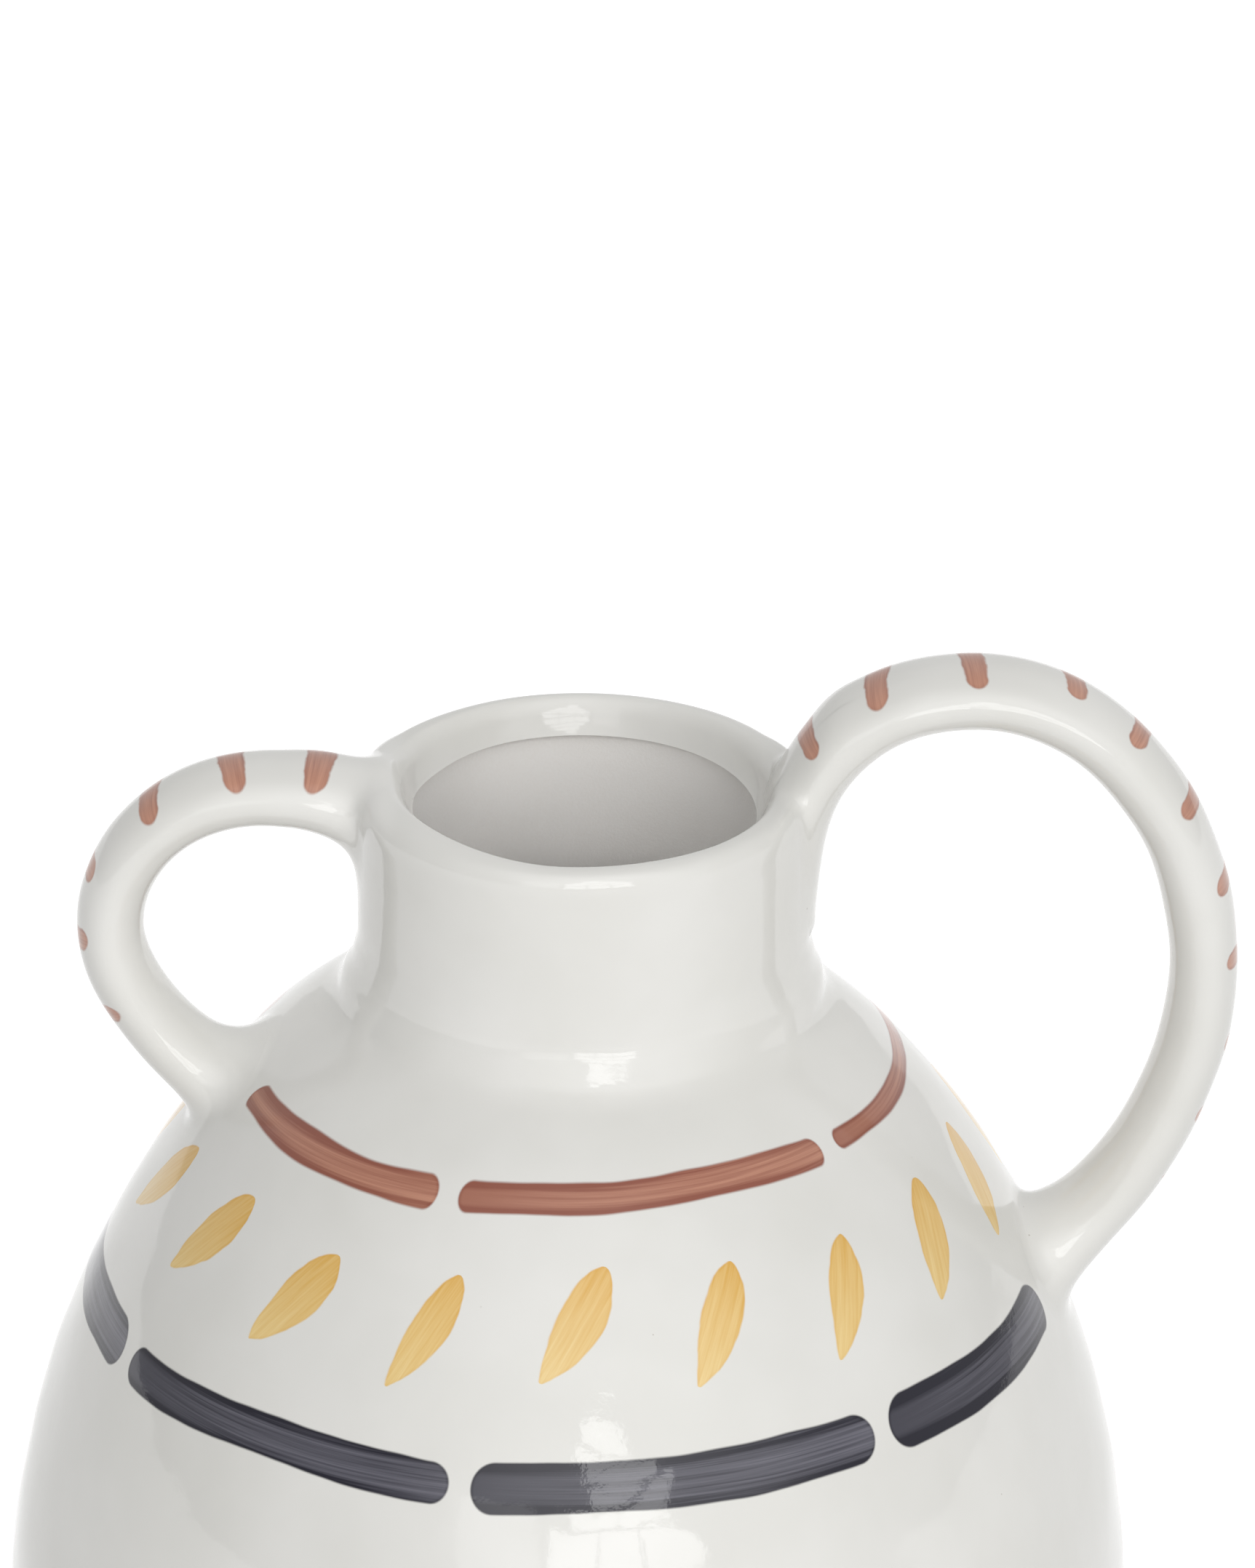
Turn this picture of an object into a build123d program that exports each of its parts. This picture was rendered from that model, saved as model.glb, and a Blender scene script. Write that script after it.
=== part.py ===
from build123d import *
import os
from math import cos, exp, radians, sin

# A large two-handled jar, thrown in sections that are luted together, with pulled handles.
# Millimetres, +Z up, origin at the centre of the ring that the jar stands on.

# Body
rim_height = 345.0  # table to the crest of the lip
neck_height = 61.0  # crest of the lip down to the seam of neck and shoulder
neck_radius = 53.0
collar_flare = 13.0  # how far the foot of the neck spreads beyond its wall
collar_rise = 24.0  # height over which the foot of the neck spreads
shoulder_pitch = 39.0  # slope of the shoulder at the neck seam, degrees
shoulder_fullness = 0.635  # how far the shoulder swells out towards its corner
belly_radius = 137.0
belly_height = 126.5
base_radius = 78.0  # body where the foot ring takes over
base_flare = 52.0  # lean of the wall there from the vertical, degrees
wall = 8.0
floor_thickness = 9.0
floor_radius = 52.0  # flat part of the inside floor
seam_step = 2.5  # height of the ridge that locks the two halves of the body

# Foot ring
foot_height = 8.0
foot_width = 13.0
foot_taper = 3.0
foot_round = 1.8

# Lip
lip_height = 11.0
lip_crest_inset = 6.2  # crest of the lip inside the neck's outer wall
lip_overhang = 3.8  # innermost line of the lip beyond the neck's inner wall
lip_nose_drop = 4.7  # innermost line of the lip below the crest
lip_under_drop = 9.4  # where the lip's underside meets the neck's inner wall, below the crest
lip_shoulder_drop = 6.5  # where the outside of the lip starts to round over

# Small handle, measured along its middle line from the neck wall and the lip's crest
small_thickness = 15.5
small_width = 23.0
small_root_drop = 18.0
small_root_inset = 11.0
small_root_lean = 12.5
small_root_spread = 1.5  # extra thickness under the handle where it leaves the neck
small_root_swell = 3.5  # extra thickness all round it there, which dies away more slowly
small_rise = -1.8
small_apex = 19.6
small_reach = 56.5
small_reach_drop = 37.2
small_foot_drop = 77.5
small_foot_corner = 13.6  # corner of the lowest bend above the foot
small_foot_spread = 8.5  # extra thickness where the handle spreads on the shoulder
small_sink = 8.0  # how far the middle line runs on under the shoulder's surface

# Large handle, measured the same way
large_thickness = 16.2
large_width = 25.0
large_root_drop = 32.0
large_root_inset = 10.0
large_root_lean = 11.2
large_root_spread = 1.0
large_root_swell = 4.0
large_rise = 22.9
large_apex = 39.3
large_reach = 95.0
large_reach_drop = 49.6
large_foot_drop = 122.4
large_foot_corner = 17.4
large_foot_spread = 10.0
large_sink = 10.0

# Both handles
root_roundness = 0.7  # the bend out of the neck, fuller than an ellipse
bend_roundness = 0.55  # the other bends, each a quarter of an ellipse
root_fade = 9.0  # length over which the spread at the neck dies away
swell_fade = 28.0  # length over which the swell at the neck dies away
foot_fade = 7.0  # length over which the spread on the shoulder dies away
foot_depth = 3.0  # the spread stops growing this far under the shoulder's surface
root_steps = (0, 5, 10, 16, 24)  # oval sections near the neck, from the start of the line
foot_steps = (34, 22, 14, 8, 4, 0)  # oval sections near the shoulder, above its surface
middle_sections = 5

# Points that neighbouring pieces share, as radius and height
neck_bore = neck_radius - wall
seat_height = rim_height - lip_height
seam_height = rim_height - neck_height
pitch = (-cos(radians(shoulder_pitch)), sin(radians(shoulder_pitch)))
base = (base_radius, foot_height)
belly = (belly_radius, belly_height)
belly_ridge = (belly_radius - wall / 2, belly_height + seam_step)
belly_inside = (belly_radius - wall, belly_height)
seam = (neck_radius + collar_flare, seam_height)
lip_crest = (neck_radius - lip_crest_inset, rim_height)
lip_nose = (neck_bore - lip_overhang, rim_height - lip_nose_drop)
seam_inside = (seam[0] - wall * pitch[1], seam[1] + wall * pitch[0])
bow = (
    seam[0] + shoulder_fullness * (belly[0] - seam[0]),
    belly[1] + shoulder_fullness * (seam[1] - belly[1]),
)

os.makedirs("parts", exist_ok=True)

# Outlines of the body that several pieces follow
with BuildLine(Plane.XZ) as lower_outside:
    flare = (sin(radians(base_flare)), cos(radians(base_flare)))
    Spline(base, belly, tangents=[flare, (0, 1)])

with BuildLine(Plane.XZ) as shoulder_outside:
    Spline(belly, bow, seam, tangents=[(0, 1), pitch])

with BuildLine(Plane.XZ) as collar_outside:
    Spline(seam, (neck_radius, seam_height + collar_rise), tangents=[pitch, (0, 1)])


def inset(outline, shares):
    """Points one wall inside an outline that runs upwards, as (radius, height)."""
    curve = outline.edges()[0]
    points = []
    for share in shares:
        place = curve @ share
        along = curve % share
        points.append((place.X - wall * along.Z, place.Z + wall * along.X))
    return points


def bend(start, corner, end, roundness=bend_roundness):
    """Draw a bend that leaves and arrives along the lines to its corner."""
    leave = tuple(a + (c - a) * roundness for a, c in zip(start, corner))
    arrive = tuple(b + (c - b) * roundness for b, c in zip(end, corner))
    Bezier(start, leave, arrive, end)


def lip_top():
    """Draw the rolled lip from its outer wall over the crest to its innermost line."""
    outside = (neck_radius, rim_height - lip_shoulder_drop)
    Line((neck_radius, seat_height), outside)
    bend(outside, (neck_radius, rim_height), lip_crest)
    bend(lip_crest, (lip_nose[0], rim_height), lip_nose)


# Foot ring, turned at the base, on which the jar stands
with BuildPart() as foot_ring:
    with BuildSketch(Plane.XZ) as ring_section:
        with BuildLine():
            Polyline(
                base,
                (base_radius - foot_taper, 0),
                (base_radius - foot_width, 0),
                (base_radius - foot_width - foot_taper, foot_height),
                close=True,
            )
        make_face()
        fillet(ring_section.vertices().group_by(Axis.Y)[0], foot_round)
    revolve(axis=Axis.Z)

# Lower half of the body: a bowl with a flat underside and a rounded floor
with BuildPart() as lower_body:
    with BuildSketch(Plane.XZ):
        with BuildLine():
            Polyline((0, foot_height + floor_thickness), (0, foot_height), base)
            Spline(base, belly, tangents=[flare, (0, 1)])
            Polyline(belly, belly_ridge, belly_inside)
            Spline(
                *inset(lower_outside, (1, 0.75, 0.5, 0.3)),
                (floor_radius, foot_height + floor_thickness),
                tangents=[(0, -1), (-1, 0)],
            )
            Line((floor_radius, foot_height + floor_thickness), (0, foot_height + floor_thickness))
        make_face()
    revolve(axis=Axis.Z)

# Upper half of the body, from the belly to the neck
with BuildPart() as shoulder:
    with BuildSketch(Plane.XZ):
        with BuildLine():
            Spline(belly, bow, seam, tangents=[(0, 1), pitch])
            Line(seam, seam_inside)
            Spline(
                *inset(shoulder_outside, (1, 0.75, 0.5, 0.25, 0)),
                tangents=[(-pitch[0], -pitch[1]), (0, -1)],
            )
            Polyline(belly_inside, belly_ridge, belly)
        make_face()
    revolve(axis=Axis.Z)

# Neck: a plain cylinder that spreads into the shoulder
with BuildPart() as neck:
    with BuildSketch(Plane.XZ):
        with BuildLine():
            Spline(seam, (neck_radius, seam_height + collar_rise), tangents=[pitch, (0, 1)])
            Polyline(
                (neck_radius, seam_height + collar_rise),
                (neck_radius, seat_height),
                (neck_bore, seat_height),
                (neck_bore, seam_height + collar_rise),
            )
            Spline(
                *inset(collar_outside, (1, 0.66, 0.33, 0)),
                tangents=[(0, -1), (-pitch[0], -pitch[1])],
            )
            Line(seam_inside, seam)
        make_face()
    revolve(axis=Axis.Z)

# Lip: a thick ring on the neck, highest near its outside, with an edge that overhangs the mouth
with BuildPart() as rim:
    with BuildSketch(Plane.XZ):
        with BuildLine():
            lip_top()
            under = (neck_bore, rim_height - lip_under_drop)
            bend(lip_nose, (lip_nose[0], under[1]), under)
            Line(under, (neck_bore, seat_height))
            Line((neck_bore, seat_height), (neck_radius, seat_height))
        make_face()
    revolve(axis=Axis.Z)

# The jar without its hollow, which trims the handles to the surfaces they are luted to
with BuildPart() as jar_core:
    with BuildSketch(Plane.XZ):
        with BuildLine():
            Polyline((0, lip_nose[1]), (0, belly_height), belly)
            Spline(belly, bow, seam, tangents=[(0, 1), pitch])
            Spline(seam, (neck_radius, seam_height + collar_rise), tangents=[pitch, (0, 1)])
            Line((neck_radius, seam_height + collar_rise), (neck_radius, seat_height))
            lip_top()
            Line(lip_nose, (0, lip_nose[1]))
        make_face()
    revolve(axis=Axis.Z)


def shoulder_point(height):
    """Point of the shoulder's outline at a height, as (radius, height)."""
    level = Axis((0, 0, height), (1, 0, 0))
    place = shoulder_outside.edges()[0].find_intersection_points(level)[0]
    return (place.X, place.Z)


def handle_line(side, root, lean, top, apex, reach, reach_height, foot_height, foot_corner, sink):
    """Draw a handle's middle line: up out of the neck, over, down and into the shoulder."""
    foot = Vector(*shoulder_point(foot_height))
    corner = Vector(reach, foot_height + foot_corner)
    end = foot + (foot - corner).normalized() * sink
    start = (side * root[0], root[1])
    bend(start, (side * (root[0] + lean), top), (side * apex, top), root_roundness)
    bend((side * apex, top), (side * reach, top), (side * reach, reach_height))
    bend((side * reach, reach_height), (side * reach, corner.Y), (side * end.X, end.Y))


def handle_sections(line, side, width, thickness, root_spread, root_swell, foot_spread, sink):
    """Planes square to a handle's middle line, each with its oval's offset and half sizes."""
    path = line.wires()[0]
    surface = path.length - sink
    gap = (surface - foot_steps[0] - root_steps[-1]) / (middle_sections + 1)
    marks = [*root_steps]
    marks += [root_steps[-1] + gap * (i + 1) for i in range(middle_sections)]
    marks += [surface - step for step in foot_steps]
    marks.append(path.length)
    sections = []
    for mark in marks:
        share = mark / path.length
        above = max(surface - mark, -foot_depth)
        under = root_spread * exp(-mark / root_fade)
        around = root_swell * exp(-mark / swell_fade) + foot_spread * exp(-above / foot_fade)
        square = Plane(origin=path @ share, x_dir=(0, 1, 0), z_dir=path % share)
        half_width = (width + under + around) / 2
        half_thickness = (thickness + under + around) / 2
        sections.append((square, -side * under / 2, half_width, half_thickness))
    return sections


# Small handle, on the -X side: from the lip to the upper shoulder
with BuildLine(Plane.XZ) as small_line:
    handle_line(
        side=-1,
        root=(neck_radius - small_root_inset, rim_height - small_root_drop),
        lean=small_root_lean,
        top=rim_height + small_rise,
        apex=neck_radius + small_apex,
        reach=neck_radius + small_reach,
        reach_height=rim_height - small_reach_drop,
        foot_height=rim_height - small_foot_drop,
        foot_corner=small_foot_corner,
        sink=small_sink,
    )

with BuildPart() as small_handle:
    ovals = handle_sections(
        line=small_line,
        side=-1,
        width=small_width,
        thickness=small_thickness,
        root_spread=small_root_spread,
        root_swell=small_root_swell,
        foot_spread=small_foot_spread,
        sink=small_sink,
    )
    for plane, offset, half_width, half_thickness in ovals:
        with BuildSketch(plane):
            with Locations((0, offset)):
                Ellipse(half_width, half_thickness)
    loft()
    add(jar_core.part, mode=Mode.SUBTRACT)

# Large handle, on the +X side: up over the lip and down to the lower shoulder
with BuildLine(Plane.XZ) as large_line:
    handle_line(
        side=1,
        root=(neck_radius - large_root_inset, rim_height - large_root_drop),
        lean=large_root_lean,
        top=rim_height + large_rise,
        apex=neck_radius + large_apex,
        reach=neck_radius + large_reach,
        reach_height=rim_height - large_reach_drop,
        foot_height=rim_height - large_foot_drop,
        foot_corner=large_foot_corner,
        sink=large_sink,
    )

with BuildPart() as large_handle:
    ovals = handle_sections(
        line=large_line,
        side=1,
        width=large_width,
        thickness=large_thickness,
        root_spread=large_root_spread,
        root_swell=large_root_swell,
        foot_spread=large_foot_spread,
        sink=large_sink,
    )
    for plane, offset, half_width, half_thickness in ovals:
        with BuildSketch(plane):
            with Locations((0, offset)):
                Ellipse(half_width, half_thickness)
    loft()
    add(jar_core.part, mode=Mode.SUBTRACT)

# Labels and files, one for each piece
foot_ring.part.label = "foot_ring"
export_step(foot_ring.part, "parts/foot_ring.step")
lower_body.part.label = "lower_body"
export_step(lower_body.part, "parts/lower_body.step")
shoulder.part.label = "shoulder"
export_step(shoulder.part, "parts/shoulder.step")
neck.part.label = "neck"
export_step(neck.part, "parts/neck.step")
rim.part.label = "rim"
export_step(rim.part, "parts/rim.step")
small_handle.part.label = "small_handle"
export_step(small_handle.part, "parts/small_handle.step")
large_handle.part.label = "large_handle"
export_step(large_handle.part, "parts/large_handle.step")
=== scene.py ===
from math import cos, pi, radians, sin, tan

import bmesh
import bpy
import numpy as np
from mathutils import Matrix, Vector


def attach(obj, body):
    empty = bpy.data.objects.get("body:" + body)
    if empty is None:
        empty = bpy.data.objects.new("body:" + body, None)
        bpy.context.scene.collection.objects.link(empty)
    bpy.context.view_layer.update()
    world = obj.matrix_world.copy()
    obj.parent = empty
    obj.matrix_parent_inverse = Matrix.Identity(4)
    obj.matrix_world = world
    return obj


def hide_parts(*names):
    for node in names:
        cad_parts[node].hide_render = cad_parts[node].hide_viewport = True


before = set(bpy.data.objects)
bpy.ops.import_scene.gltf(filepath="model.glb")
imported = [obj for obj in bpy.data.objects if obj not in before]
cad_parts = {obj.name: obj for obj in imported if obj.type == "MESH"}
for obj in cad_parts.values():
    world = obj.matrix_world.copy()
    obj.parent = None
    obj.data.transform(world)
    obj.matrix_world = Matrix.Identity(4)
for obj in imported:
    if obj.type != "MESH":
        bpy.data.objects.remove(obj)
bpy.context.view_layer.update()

MM = 0.001  # a millimetre in metres
tiny = 1e-6  # keeps a division safe

# Sizes of the jar in millimetres and degrees, the same values as the solids have
rim_height = 345.0
neck_height = 61.0
neck_radius = 53.0
collar_flare = 13.0
collar_rise = 24.0
shoulder_pitch = 39.0
shoulder_fullness = 0.635
belly_radius = 137.0
belly_height = 126.5
base_radius = 78.0
base_flare = 52.0
wall = 8.0
floor_thickness = 9.0
floor_radius = 52.0
seam_step = 2.5
foot_height = 8.0
foot_width = 13.0
foot_taper = 3.0
foot_round = 1.8
lip_height = 11.0
lip_crest_inset = 6.2
lip_shoulder_drop = 6.5
root_roundness = 0.7
bend_roundness = 0.55
root_fade = 9.0
swell_fade = 28.0
foot_fade = 7.0
foot_depth = 3.0

small = {
    "side": -1, "thickness": 15.5, "width": 23.0, "root_drop": 18.0, "root_inset": 11.0,
    "root_lean": 12.5, "root_spread": 1.5, "root_swell": 3.5, "rise": -1.8, "apex": 19.6,
    "reach": 56.5, "reach_drop": 37.2, "foot_drop": 77.5, "foot_corner": 13.6, "foot_spread": 8.5,
    "sink": 8.0,
}
large = {
    "side": 1, "thickness": 16.2, "width": 25.0, "root_drop": 32.0, "root_inset": 10.0,
    "root_lean": 11.2, "root_spread": 1.0, "root_swell": 4.0, "rise": 22.9, "apex": 39.3,
    "reach": 95.0, "reach_drop": 49.6, "foot_drop": 122.4, "foot_corner": 17.4, "foot_spread": 10.0,
    "sink": 10.0,
}

# Finer forms, in the visual model alone
crease_rise = 16.2  # crease at the foot of the neck, above the seam
crease_round = 2.0
cone_lean = 25.0  # below it the wall leans out by this angle
fold_round = 5.0  # and then folds over into the shoulder
fold_short = 2.0  # the fold starts this far up the leaning wall
lip_face_inset = 3.6  # steep inner face of the lip, inside its crest
lip_face_drop = 4.0
lip_face_lean = 0.3
lip_hollow = 3.0  # the face runs out in a hollow of this height
lip_edge_inset = 5.9  # crisp inner edge where the glaze ends, inside the crest
lip_edge_drop = 8.7
lip_roundness = 0.7
root_clear = 1.5  # the handles' roots stay this far outside the lip's inner edge
clear_reach = 3.0  # and come to that limit over this distance
floor_turn = 16.0  # the inside starts to curve into the floor this far above it

# How finely the meshes are divided, with lengths in millimetres
ring_segments = 256
wall_step = 2.2  # spacing of the rings on the body
collar_step = 0.9  # outside the neck
bore_step = 1.6  # inside the neck
lip_step = 0.45  # on the lip
under_step = 0.6  # under the lip
end_marks = np.array((0, 0.2, 0.6, 1.3))  # close rings at both ends of a run
end_gap = 2.4  # from the end of a run to the first even ring
end_room = 5.0
arc_points = 9  # on the foot ring's rounded edges
sweep_points = 200
bend_points = 60
middle_points = 200  # on each bend of a handle's middle line
middle_marks = 420
tube_segments = 88
tube_rings = 130
skirt_rings = 16
landing_steps = 500
same_point = 1e-9
same_place = 1e-7  # the same in metres, in a mesh

# Points that neighbouring pieces share, as radius and height
neck_bore = neck_radius - wall
seat_height = rim_height - lip_height
seam_height = rim_height - neck_height
pitch = np.array((-cos(radians(shoulder_pitch)), sin(radians(shoulder_pitch))))
flare = np.array((sin(radians(base_flare)), cos(radians(base_flare))))
upright = np.array((0.0, 1.0))
base = np.array((base_radius, foot_height))
belly = np.array((belly_radius, belly_height))
seam = np.array((neck_radius + collar_flare, seam_height))
collar_top = np.array((neck_radius, seam_height + collar_rise))
bow = seam + (1 - shoulder_fullness) * np.array((0, belly[1] - seam[1]))
bow[0] += shoulder_fullness * (belly[0] - seam[0])
lip_crest = np.array((neck_radius - lip_crest_inset, rim_height))
lip_face = lip_crest - np.array((lip_face_inset, lip_face_drop))
lip_edge = lip_crest - np.array((lip_edge_inset, lip_edge_drop))
face_run = np.array((lip_face_lean, 1.0))
root_ring = lip_edge[0] + root_clear


# Curves

def smooth(value, low, high):
    """0 below low, 1 above high, with a soft step between."""
    t = np.clip((value - low) / (high - low), 0, 1)
    return t * t * (3 - 2 * t)


def hermite(start, leave, end, arrive):
    """Cubic curve between two points with given speeds at its ends."""
    u = np.linspace(0, 1, sweep_points)[:, None]
    return (
        (2 * u**3 - 3 * u**2 + 1) * start + (u**3 - 2 * u**2 + u) * leave
        + (3 * u**2 - 2 * u**3) * end + (u**3 - u**2) * arrive
    )


def reach_of(vector):
    return np.abs(vector).sum()


def sweep(start, leave, end, arrive):
    """Curve through two points, as fast at its ends as the chord is long."""
    chord = reach_of(end - start)
    return hermite(start, leave * chord / reach_of(leave), end, arrive * chord / reach_of(arrive))


def sweep_through(start, leave, middle, end, arrive):
    """Curve through three points with one curvature on both sides of the middle one."""
    first = np.linalg.norm(middle - start)
    second = np.linalg.norm(end - middle)
    slope_a = (middle - start) / first
    slope_b = (end - middle) / second
    twist = (slope_b - slope_a) / (first + second)
    leave = leave * reach_of(slope_a - twist * first) / reach_of(leave)
    arrive = arrive * reach_of(slope_b + twist * second) / reach_of(arrive)
    through = 3 * (second * slope_a + first * slope_b) - second * leave - first * arrive
    through = through / (2 * (first + second))
    low = hermite(start, leave * first, middle, through * first)
    high = hermite(middle, through * second, end, arrive * second)
    return np.vstack((low, high[1:]))


def bend(start, corner, end, roundness=bend_roundness, count=bend_points):
    """Bend that leaves and arrives along the lines to its corner."""
    start, corner, end = np.array(start), np.array(corner), np.array(end)
    leave = start + (corner - start) * roundness
    arrive = end + (corner - end) * roundness
    u = np.linspace(0, 1, count)[:, None]
    v = 1 - u
    return v**3 * start + 3 * v**2 * u * leave + 3 * v * u**2 * arrive + u**3 * end


def unit(vectors):
    return vectors / np.linalg.norm(vectors, axis=-1)[..., None]


def lengths(curve):
    steps = np.linalg.norm(np.diff(curve, axis=0), axis=1)
    return np.concatenate(([0], np.cumsum(steps)))


def at_lengths(curve, marks):
    along = lengths(curve)
    return np.stack([np.interp(marks, along, column) for column in curve.T], axis=1)


def spaced(curve, step=wall_step):
    """A curve at even steps, with a few close ones at its ends so that the shading runs on."""
    total = lengths(curve)[-1]
    count = max(int((total - end_room) / step), 2)
    even = np.linspace(end_gap, total - end_gap, count)
    return at_lengths(curve, np.concatenate((end_marks, even, total - end_marks[::-1])))


def inset(curve):
    """A curve one wall inside another that runs upwards."""
    along = unit(np.gradient(curve, axis=0))
    return curve + wall * np.stack((-along[:, 1], along[:, 0]), axis=1)


def joined(*curves):
    """Curves as one, without the points that two of them share."""
    points = np.vstack(curves)
    apart = np.linalg.norm(np.diff(points, axis=0), axis=1) > same_point
    return points[np.concatenate(([True], apart))]


# Outlines of the body, from the foot upwards
lower_outside = sweep(base, flare, belly, upright)
shoulder_outside = sweep_through(belly, upright, bow, seam, pitch)
collar_plain = sweep(seam, pitch, collar_top, upright)
crease = np.array((neck_radius, seam_height + crease_rise))
cone = np.array((sin(radians(cone_lean)), -cos(radians(cone_lean))))
fold = seam + pitch * np.linalg.solve(np.stack((pitch, -cone), axis=1), crease - seam)[0]
collar_outside = joined(
    np.array((seam, fold - fold_round * pitch)),
    bend(fold - fold_round * pitch, fold, fold - fold_short * cone),
    bend(crease + crease_round * cone, crease, crease + crease_round * upright),
    np.array((crease + crease_round * upright, collar_top)),
)
lip_start = np.array((neck_radius, rim_height - lip_shoulder_drop))
neck_seat = np.array((neck_radius, seat_height))
bore_seat = np.array((neck_bore, seat_height))
lip_outside = joined(
    np.array((neck_seat, lip_start)),
    bend(lip_start, (neck_radius, rim_height), lip_crest, lip_roundness),
    bend(lip_crest, lip_face + lip_face_drop * face_run, lip_face),
    bend(lip_face, lip_face - lip_hollow * face_run, lip_edge),
)


# Hand-made unevenness, one field for every piece so that neighbours stay together
neck_shift = 2.0  # the neck stands this far towards the large handle
belly_shift = -1.9  # the belly stands the other way
high_shift = -1.2  # and so does the top of the shoulder
left_lift = 1.6  # the shoulder under the small handle stands higher
rim_tilt = 0.006  # fall of the rim towards the large handle
rim_rise = 1.3  # the back of the rim stands higher
root_lifts = ((-1, 1.3), (1, 1.2))  # side of each handle, and how much higher it leaves the neck
lip_lift = 3.0  # the lip's inner half stands higher beside the small handle
mouth_wide = 1.35  # the lip is thinner than the solid's
mouth_oval = 2.25  # and the mouth narrower between the handles than across
swells = ((225, 45, 0.6, 0), (298, 11, 1.7, 1))  # height, reach, depth, and 1 for the sides alone
round_error = 0.45
round_waves = ((2, 1.0, 0.6, 95), (3, 0.6, 1.9, -70))  # lobes, share, start and height of the twist
wave_height = 0.11
wave_lengths = (31.0, 43.0, 58.0)
wave_turn = (0.9, 1.7)  # heading of the first waves, and the turn to the next, in radians
wave_climb = 0.35
wave_slant = 0.4

# Where it fades in or out: from and to a distance off the wall, a radius or a place along an axis
fades = {
    "near": (0, 16), "beside": (0, 36), "off_axis": (5, 40), "free": (10, 45), "belly": (20, 100),
    "high": (140, 205), "under_neck": (250, 305), "neck": (268, 304), "left": (25, 70),
    "left_low": (235, 285), "left_high": (306, 326), "rim_back": (-20, 50), "rim": (300, 338),
    "root_in": (42, 49), "root_out": (54, 70), "root": (318, 332), "inner": (42, 58),
    "inner_front": (-5, 25), "inner_left": (4, 42), "inner_rise": (322, 342), "mouth": (295, 330),
}
round_outline = joined(
    lower_outside, shoulder_outside, collar_outside, np.array((collar_top, lip_crest))
)


def fade(value, name):
    return smooth(value, *fades[name])


def settle(points):
    """Move points of a true jar to where the potter's hand left them."""
    x, y, z = points.T
    radius = np.hypot(x, y)
    angle = np.arctan2(x, -y)
    body_radius = np.interp(z, round_outline[:, 1], round_outline[:, 0])
    near = 1 - fade(radius - body_radius, "near")
    moved = points.copy()
    moved[:, 0] += neck_shift * fade(z, "neck") * near
    shift = belly_shift + (high_shift - belly_shift) * fade(z, "high")
    moved[:, 0] += shift * (fade(z, "belly") * (1 - fade(z, "under_neck"))) * near
    left = fade(-x, "left")
    moved[:, 2] += left_lift * left * fade(z, "left_low") * (1 - fade(z, "left_high")) * near
    moved[:, 2] += rim_change(x, y, z, 1 - fade(radius - body_radius, "beside"))
    inner = (1 - fade(radius, "inner")) * (1 - fade(y, "inner_front"))
    moved[:, 2] += lip_lift * fade(-x, "inner_left") * inner * fade(z, "inner_rise")
    free = fade(z, "free")
    out = round_error * sum(
        share * np.sin(lobes * angle + start + z / twist) for lobes, share, start, twist in round_waves
    )
    out *= free * fade(radius, "off_axis")
    for level, reach, depth, sides in swells:
        ring = 1 - smooth(np.abs(z - level), 0, reach)
        out += depth * ring * near * np.sin(angle) ** (2 * sides)
    within = np.clip((neck_radius - radius) / (neck_radius - lip_edge[0]), 0, 1)
    out += (mouth_wide + mouth_oval * np.cos(2 * angle)) * within * fade(z, "mouth")
    out += waves(x, y, z) * free
    safe = np.maximum(radius, tiny)
    moved[:, 0] += out * x / safe
    moved[:, 1] += out * y / safe
    return moved


def rim_change(x, y, z, beside):
    """Rise of the rim's back and of the handles' roots, and the rim's tilt."""
    change = (rim_rise * fade(y, "rim_back") - rim_tilt * x) * fade(z, "rim") * beside
    for side, lift in root_lifts:
        level = fade(side * x, "root_in") * (1 - fade(side * x, "root_out"))
        change = change + lift * level * fade(z, "root")
    return change


def waves(x, y, z):
    """Faint waves over the whole surface, in three sizes that cross."""
    height = 0
    for i, length in enumerate(wave_lengths):
        turn = wave_turn[0] + wave_turn[1] * i
        along = x * cos(turn) + y * sin(turn) + wave_climb * z
        across = z - wave_slant * x * sin(turn) + wave_slant * y * cos(turn)
        ripple = np.sin(2 * pi * along / length + i) * np.sin(2 * pi * across / length + 2 * i)
        height = height + wave_height * ripple
    return height


# Materials

class Wire:
    """A value in a node tree. Plain arithmetic on it adds Math nodes."""

    def __init__(self, tree, socket):
        self.tree = tree
        self.socket = socket

    def math(self, operation, *others):
        node = add_node(self.tree, "Math", dict(enumerate((self, *others))), operation=operation)
        return Wire(self.tree, node.outputs[0])

    def __add__(self, other):
        return self.math("ADD", other)

    __radd__ = __add__

    def __sub__(self, other):
        return self.math("SUBTRACT", other)

    def __rsub__(self, other):
        return (self * -1.0).math("ADD", other)

    def __mul__(self, other):
        return self.math("MULTIPLY", other)

    def __truediv__(self, other):
        return self.math("DIVIDE", other)

    def __neg__(self):
        return self.math("MULTIPLY", -1.0)

    def abs(self):
        return self.math("ABSOLUTE")

    def floor(self):
        return self.math("FLOOR")

    def high(self, other):
        return self.math("MAXIMUM", other)

    def step(self, low, high, top=1.0):
        """0 below low and top above high, with a soft step between."""
        inputs = {"Value": self, "From Min": low, "From Max": high, "To Max": top}
        node = add_node(self.tree, "MapRange", inputs, interpolation_type="SMOOTHSTEP")
        return Wire(self.tree, node.outputs["Result"])


def feed(tree, socket, value):
    if isinstance(value, Wire):
        tree.links.new(value.socket, socket)
    else:
        socket.default_value = value


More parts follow.
